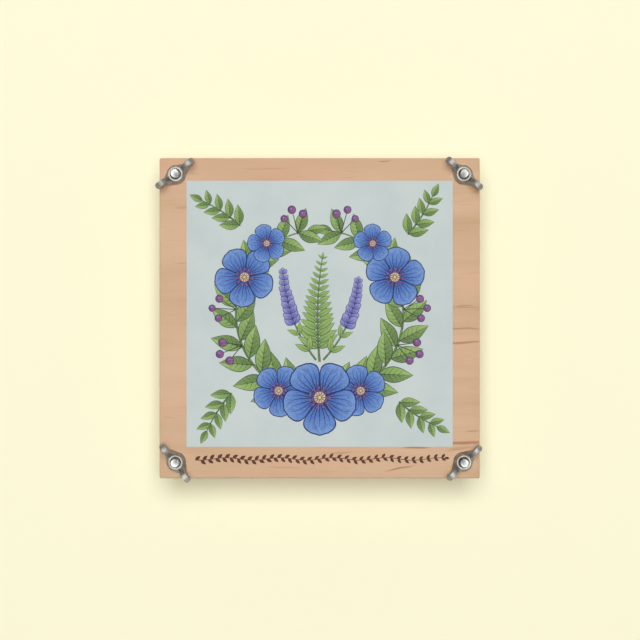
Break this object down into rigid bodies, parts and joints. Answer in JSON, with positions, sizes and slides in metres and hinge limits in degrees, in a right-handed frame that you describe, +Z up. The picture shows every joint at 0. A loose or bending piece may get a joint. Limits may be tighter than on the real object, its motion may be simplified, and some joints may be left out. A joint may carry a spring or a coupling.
{
  "type": "flower press",
  "caption": "Square wooden flower press: two boards drawn together by carriage bolts and wing nuts over corrugated cards and blotting papers.",
  "frame": {"origin": "middle of the bottom board's underside, on the table", "axes": "+Z up, square to the boards; +Y to the back edge, towards which the printed sheet is set; +X to the right"},
  "size_m": [0.1825, 0.1815, 0.0545],
  "materials": {
    "board_wood": "sanded bare plywood, fine straight grain",
    "printed_paper": "matt printed sheet",
    "plated_steel": "zinc plated, satin",
    "kraft_card": "matt brown kraft board",
    "blotting_paper": "soft absorbent felted paper"
  },
  "bodies": {
    "base": {"bottom_board": "board_wood", "carriage_bolt_back_left": "plated_steel", "carriage_bolt_back_right": "plated_steel", "carriage_bolt_front_left": "plated_steel", "carriage_bolt_front_right": "plated_steel"},
    "press_top": {"top_board": "board_wood", "printed_sheet": "printed_paper"},
    "wing_nut_back_left": {"wing_nut_back_left": "plated_steel"},
    "wing_nut_back_right": {"wing_nut_back_right": "plated_steel"},
    "wing_nut_front_left": {"wing_nut_front_left": "plated_steel"},
    "wing_nut_front_right": {"wing_nut_front_right": "plated_steel"},
    "corrugated_card_1": {"corrugated_card_1": "kraft_card"},
    "blotting_paper_1": {"blotting_paper_1": "blotting_paper"},
    "blotting_paper_2": {"blotting_paper_2": "blotting_paper"},
    "corrugated_card_2": {"corrugated_card_2": "kraft_card"},
    "blotting_paper_3": {"blotting_paper_3": "blotting_paper"},
    "blotting_paper_4": {"blotting_paper_4": "blotting_paper"},
    "corrugated_card_3": {"corrugated_card_3": "kraft_card"},
    "blotting_paper_5": {"blotting_paper_5": "blotting_paper"},
    "blotting_paper_6": {"blotting_paper_6": "blotting_paper"},
    "corrugated_card_4": {"corrugated_card_4": "kraft_card"},
    "blotting_paper_7": {"blotting_paper_7": "blotting_paper"},
    "blotting_paper_8": {"blotting_paper_8": "blotting_paper"},
    "corrugated_card_5": {"corrugated_card_5": "kraft_card"}
  },
  "joints": [
    {"name": "board_lift", "type": "slide", "parent": "base", "child": "press_top", "axis": [0, 0, 1], "range_m": [0, 0.008]},
    {"name": "nut_turn_back_left", "type": "hinge", "parent": "press_top", "child": "wing_nut_back_left", "pos_m": [-0.0806, 0.0806, 0.042], "axis": [0, 0, 1], "range_deg": [0, 3600]},
    {"name": "nut_turn_back_right", "type": "hinge", "parent": "press_top", "child": "wing_nut_back_right", "pos_m": [0.0806, 0.0806, 0.042], "axis": [0, 0, 1], "range_deg": [0, 3600]},
    {"name": "nut_turn_front_left", "type": "hinge", "parent": "press_top", "child": "wing_nut_front_left", "pos_m": [-0.0806, -0.0806, 0.042], "axis": [0, 0, 1], "range_deg": [0, 3600]},
    {"name": "nut_turn_front_right", "type": "hinge", "parent": "press_top", "child": "wing_nut_front_right", "pos_m": [0.0806, -0.0806, 0.042], "axis": [0, 0, 1], "range_deg": [0, 3600]},
    {"name": "corrugated_card_1_lift", "type": "slide", "parent": "base", "child": "corrugated_card_1", "axis": [0, 0, 1], "range_m": [0, 0.008]},
    {"name": "blotting_paper_1_lift", "type": "slide", "parent": "base", "child": "blotting_paper_1", "axis": [0, 0, 1], "range_m": [0, 0.008]},
    {"name": "blotting_paper_2_lift", "type": "slide", "parent": "base", "child": "blotting_paper_2", "axis": [0, 0, 1], "range_m": [0, 0.008]},
    {"name": "corrugated_card_2_lift", "type": "slide", "parent": "base", "child": "corrugated_card_2", "axis": [0, 0, 1], "range_m": [0, 0.008]},
    {"name": "blotting_paper_3_lift", "type": "slide", "parent": "base", "child": "blotting_paper_3", "axis": [0, 0, 1], "range_m": [0, 0.008]},
    {"name": "blotting_paper_4_lift", "type": "slide", "parent": "base", "child": "blotting_paper_4", "axis": [0, 0, 1], "range_m": [0, 0.008]},
    {"name": "corrugated_card_3_lift", "type": "slide", "parent": "base", "child": "corrugated_card_3", "axis": [0, 0, 1], "range_m": [0, 0.008]},
    {"name": "blotting_paper_5_lift", "type": "slide", "parent": "base", "child": "blotting_paper_5", "axis": [0, 0, 1], "range_m": [0, 0.008]},
    {"name": "blotting_paper_6_lift", "type": "slide", "parent": "base", "child": "blotting_paper_6", "axis": [0, 0, 1], "range_m": [0, 0.008]},
    {"name": "corrugated_card_4_lift", "type": "slide", "parent": "base", "child": "corrugated_card_4", "axis": [0, 0, 1], "range_m": [0, 0.008]},
    {"name": "blotting_paper_7_lift", "type": "slide", "parent": "base", "child": "blotting_paper_7", "axis": [0, 0, 1], "range_m": [0, 0.008]},
    {"name": "blotting_paper_8_lift", "type": "slide", "parent": "base", "child": "blotting_paper_8", "axis": [0, 0, 1], "range_m": [0, 0.008]},
    {"name": "corrugated_card_5_lift", "type": "slide", "parent": "base", "child": "corrugated_card_5", "axis": [0, 0, 1], "range_m": [0, 0.008]}
  ],
  "couplings": [
    {"joint": "nut_turn_back_left", "follows": "board_lift", "rad_per_m": 7854},
    {"joint": "nut_turn_back_right", "follows": "board_lift", "rad_per_m": 7854},
    {"joint": "nut_turn_front_left", "follows": "board_lift", "rad_per_m": 7854},
    {"joint": "nut_turn_front_right", "follows": "board_lift", "rad_per_m": 7854},
    {"joint": "corrugated_card_1_lift", "follows": "board_lift", "ratio": 0.027273},
    {"joint": "blotting_paper_1_lift", "follows": "board_lift", "ratio": 0.054545},
    {"joint": "blotting_paper_2_lift", "follows": "board_lift", "ratio": 0.23636},
    {"joint": "corrugated_card_2_lift", "follows": "board_lift", "ratio": 0.26364},
    {"joint": "blotting_paper_3_lift", "follows": "board_lift", "ratio": 0.29091},
    {"joint": "blotting_paper_4_lift", "follows": "board_lift", "ratio": 0.47273},
    {"joint": "corrugated_card_3_lift", "follows": "board_lift", "ratio": 0.5},
    {"joint": "blotting_paper_5_lift", "follows": "board_lift", "ratio": 0.52727},
    {"joint": "blotting_paper_6_lift", "follows": "board_lift", "ratio": 0.70909},
    {"joint": "corrugated_card_4_lift", "follows": "board_lift", "ratio": 0.73636},
    {"joint": "blotting_paper_7_lift", "follows": "board_lift", "ratio": 0.76364},
    {"joint": "blotting_paper_8_lift", "follows": "board_lift", "ratio": 0.94546},
    {"joint": "corrugated_card_5_lift", "follows": "board_lift", "ratio": 0.97273}
  ]
}
